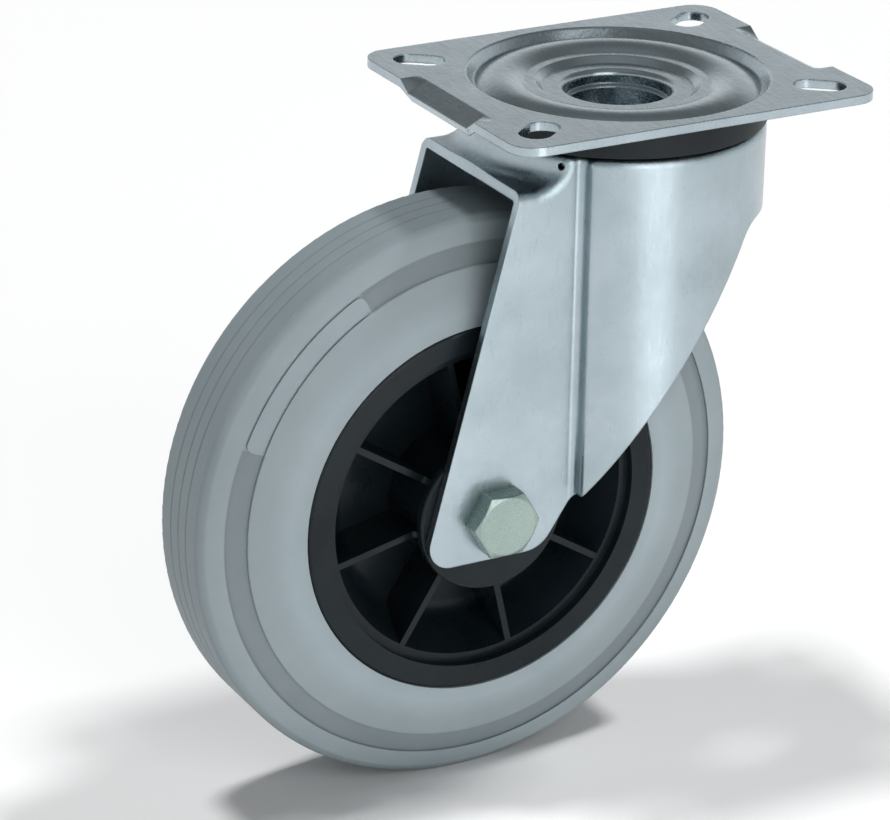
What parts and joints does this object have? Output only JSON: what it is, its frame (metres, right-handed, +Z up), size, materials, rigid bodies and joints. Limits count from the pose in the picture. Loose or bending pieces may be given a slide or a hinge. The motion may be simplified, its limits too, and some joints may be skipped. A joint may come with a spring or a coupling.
{
  "type": "swivel castor",
  "caption": "Swivel castor with a slotted mounting plate, a double ball race under a pressed steel fork and a grey rubber wheel on a roller bearing.",
  "frame": {"origin": "on the swivel axis at the top face of the mounting plate, the centre of the four bolt slots", "axes": "+Z up along the swivel axis out of the plate; X along the plate's long side, the axle trailing towards -X; Y along the axle"},
  "size_m": [0.2275, 0.11, 0.235],
  "materials": {
    "plate_steel": "bright zinc plate",
    "fork_steel": "bright zinc plate",
    "race_steel": "zinc plate",
    "ball_steel": "polished",
    "roller_steel": "ground",
    "sleeve_steel": "ground",
    "bolt_zinc": "pale yellow zinc plate",
    "nut_zinc": "pale yellow zinc plate",
    "insert_nylon": "plain",
    "ring_dark": "matt",
    "rim_plastic": "satin moulded",
    "cap_plastic": "satin moulded",
    "cage_plastic": "moulded",
    "tyre_rubber": "matt grey"
  },
  "bodies": {
    "plate": {"top_plate": "plate_steel", "dust_ring": "ring_dark", "lower_race": "race_steel"},
    "upper_ball_row": {"upper_balls": "ball_steel"},
    "lower_ball_row": {"lower_balls": "ball_steel"},
    "fork": {"fork": "fork_steel", "axle_bolt": "bolt_zinc", "axle_nut": "nut_zinc", "nut_insert": "insert_nylon", "axle_sleeve": "sleeve_steel"},
    "wheel": {"wheel_rim": "rim_plastic", "tyre": "tyre_rubber", "hub_cap_left": "cap_plastic", "hub_cap_right": "cap_plastic"},
    "cage": {"roller_cage": "cage_plastic"},
    "roller_1": {"roller_1": "roller_steel"},
    "roller_2": {"roller_2": "roller_steel"},
    "roller_3": {"roller_3": "roller_steel"},
    "roller_4": {"roller_4": "roller_steel"},
    "roller_5": {"roller_5": "roller_steel"},
    "roller_6": {"roller_6": "roller_steel"},
    "roller_7": {"roller_7": "roller_steel"},
    "roller_8": {"roller_8": "roller_steel"}
  },
  "joints": [
    {"name": "swivel", "type": "hinge", "parent": "plate", "child": "fork", "pos_m": [0, 0, 0], "axis": [0, 0, 1], "continuous": true},
    {"name": "upper_row_turn", "type": "hinge", "parent": "plate", "child": "upper_ball_row", "pos_m": [0, 0, 0], "axis": [0, 0, 1], "continuous": true},
    {"name": "lower_row_turn", "type": "hinge", "parent": "plate", "child": "lower_ball_row", "pos_m": [0, 0, 0], "axis": [0, 0, 1], "continuous": true},
    {"name": "wheel_spin", "type": "hinge", "parent": "fork", "child": "wheel", "pos_m": [-0.06, 0, -0.135], "axis": [0, 1, 0], "continuous": true},
    {"name": "cage_spin", "type": "hinge", "parent": "fork", "child": "cage", "pos_m": [-0.06, 0, -0.135], "axis": [0, 1, 0], "continuous": true},
    {"name": "roller_1_spin", "type": "hinge", "parent": "cage", "child": "roller_1", "pos_m": [-0.0474, 0, -0.135], "axis": [0, 1, 0], "continuous": true},
    {"name": "roller_2_spin", "type": "hinge", "parent": "cage", "child": "roller_2", "pos_m": [-0.05109, 0, -0.12609], "axis": [0, 1, 0], "continuous": true},
    {"name": "roller_3_spin", "type": "hinge", "parent": "cage", "child": "roller_3", "pos_m": [-0.06, 0, -0.1224], "axis": [0, 1, 0], "continuous": true},
    {"name": "roller_4_spin", "type": "hinge", "parent": "cage", "child": "roller_4", "pos_m": [-0.06891, 0, -0.12609], "axis": [0, 1, 0], "continuous": true},
    {"name": "roller_5_spin", "type": "hinge", "parent": "cage", "child": "roller_5", "pos_m": [-0.0726, 0, -0.135], "axis": [0, 1, 0], "continuous": true},
    {"name": "roller_6_spin", "type": "hinge", "parent": "cage", "child": "roller_6", "pos_m": [-0.06891, 0, -0.14391], "axis": [0, 1, 0], "continuous": true},
    {"name": "roller_7_spin", "type": "hinge", "parent": "cage", "child": "roller_7", "pos_m": [-0.06, 0, -0.1476], "axis": [0, 1, 0], "continuous": true},
    {"name": "roller_8_spin", "type": "hinge", "parent": "cage", "child": "roller_8", "pos_m": [-0.05109, 0, -0.14391], "axis": [0, 1, 0], "continuous": true}
  ],
  "couplings": [
    {"joint": "upper_row_turn", "follows": "swivel", "ratio": 0.5},
    {"joint": "lower_row_turn", "follows": "swivel", "ratio": 0.5},
    {"joint": "cage_spin", "follows": "wheel_spin", "ratio": 0.6},
    {"joint": "roller_1_spin", "follows": "wheel_spin", "ratio": 2.424},
    {"joint": "roller_2_spin", "follows": "wheel_spin", "ratio": 2.424},
    {"joint": "roller_3_spin", "follows": "wheel_spin", "ratio": 2.424},
    {"joint": "roller_4_spin", "follows": "wheel_spin", "ratio": 2.424},
    {"joint": "roller_5_spin", "follows": "wheel_spin", "ratio": 2.424},
    {"joint": "roller_6_spin", "follows": "wheel_spin", "ratio": 2.424},
    {"joint": "roller_7_spin", "follows": "wheel_spin", "ratio": 2.424},
    {"joint": "roller_8_spin", "follows": "wheel_spin", "ratio": 2.424}
  ]
}
